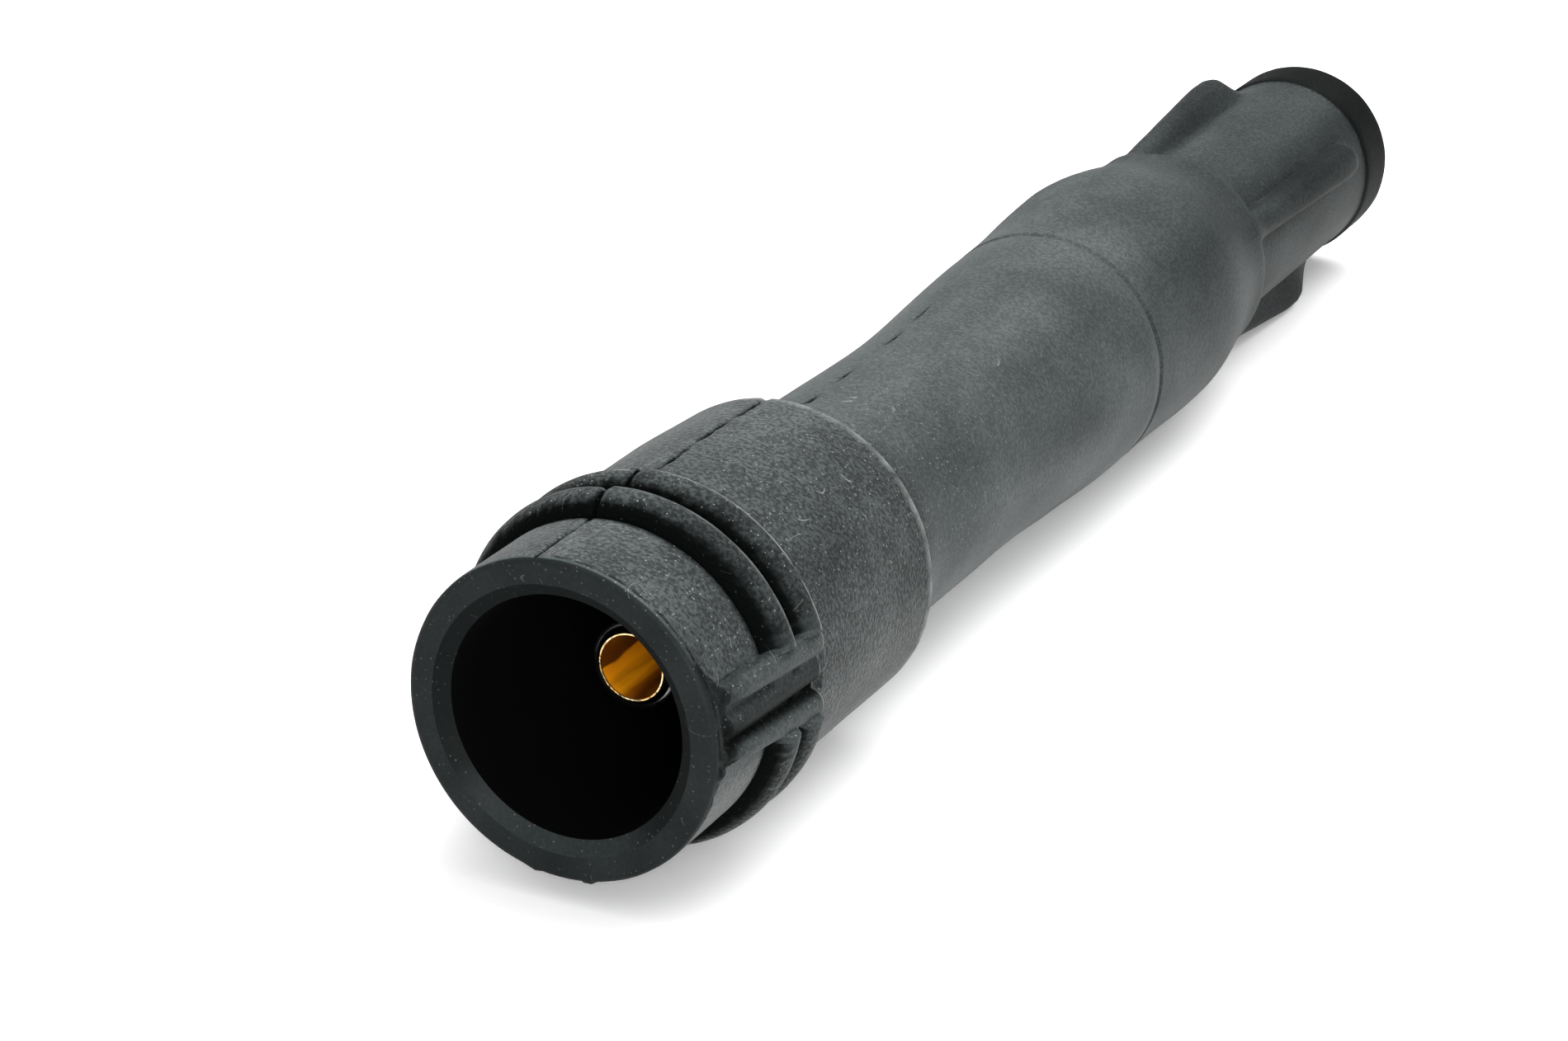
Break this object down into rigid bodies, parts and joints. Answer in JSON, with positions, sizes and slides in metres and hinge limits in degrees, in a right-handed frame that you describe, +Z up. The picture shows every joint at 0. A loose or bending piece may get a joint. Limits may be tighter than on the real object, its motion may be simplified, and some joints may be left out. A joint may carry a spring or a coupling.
{
  "type": "spark plug cap",
  "caption": "Long moulded rubber spark plug boot with sealing ribs, a side air vent and centring fins, and a resistor and contacts inside.",
  "frame": {"origin": "centre of the footprint, on the surface that the cap lies on", "axes": "+Z up, +Y along the cap from the coil mouth to the plug end (the cap's own axis slopes down by 1.2 degrees towards +Y, because it rests on its ribs and its slimmer swelling), +X across, towards the air vent"},
  "size_m": [0.027, 0.1556, 0.0272],
  "materials": {
    "boot_rubber": "matte dark grey moulded rubber with a fine grain",
    "core_plastic": "glossy black moulded plastic",
    "contact_brass": "bright drawn brass",
    "spring_steel": "drawn spring wire",
    "resistor_cup": "pressed, plated steel",
    "resistor_ceramic": "matte fired ceramic"
  },
  "bodies": {
    "root": {"boot": "boot_rubber", "insulator_core": "core_plastic", "contact_tube": "contact_brass", "coil_side_spring": "spring_steel", "resistor_cap_coil_side": "resistor_cup", "resistor_rod": "resistor_ceramic", "resistor_cap_plug_side": "resistor_cup", "plug_side_spring": "spring_steel", "plug_terminal": "contact_brass", "terminal_clip": "spring_steel"}
  },
  "joints": []
}
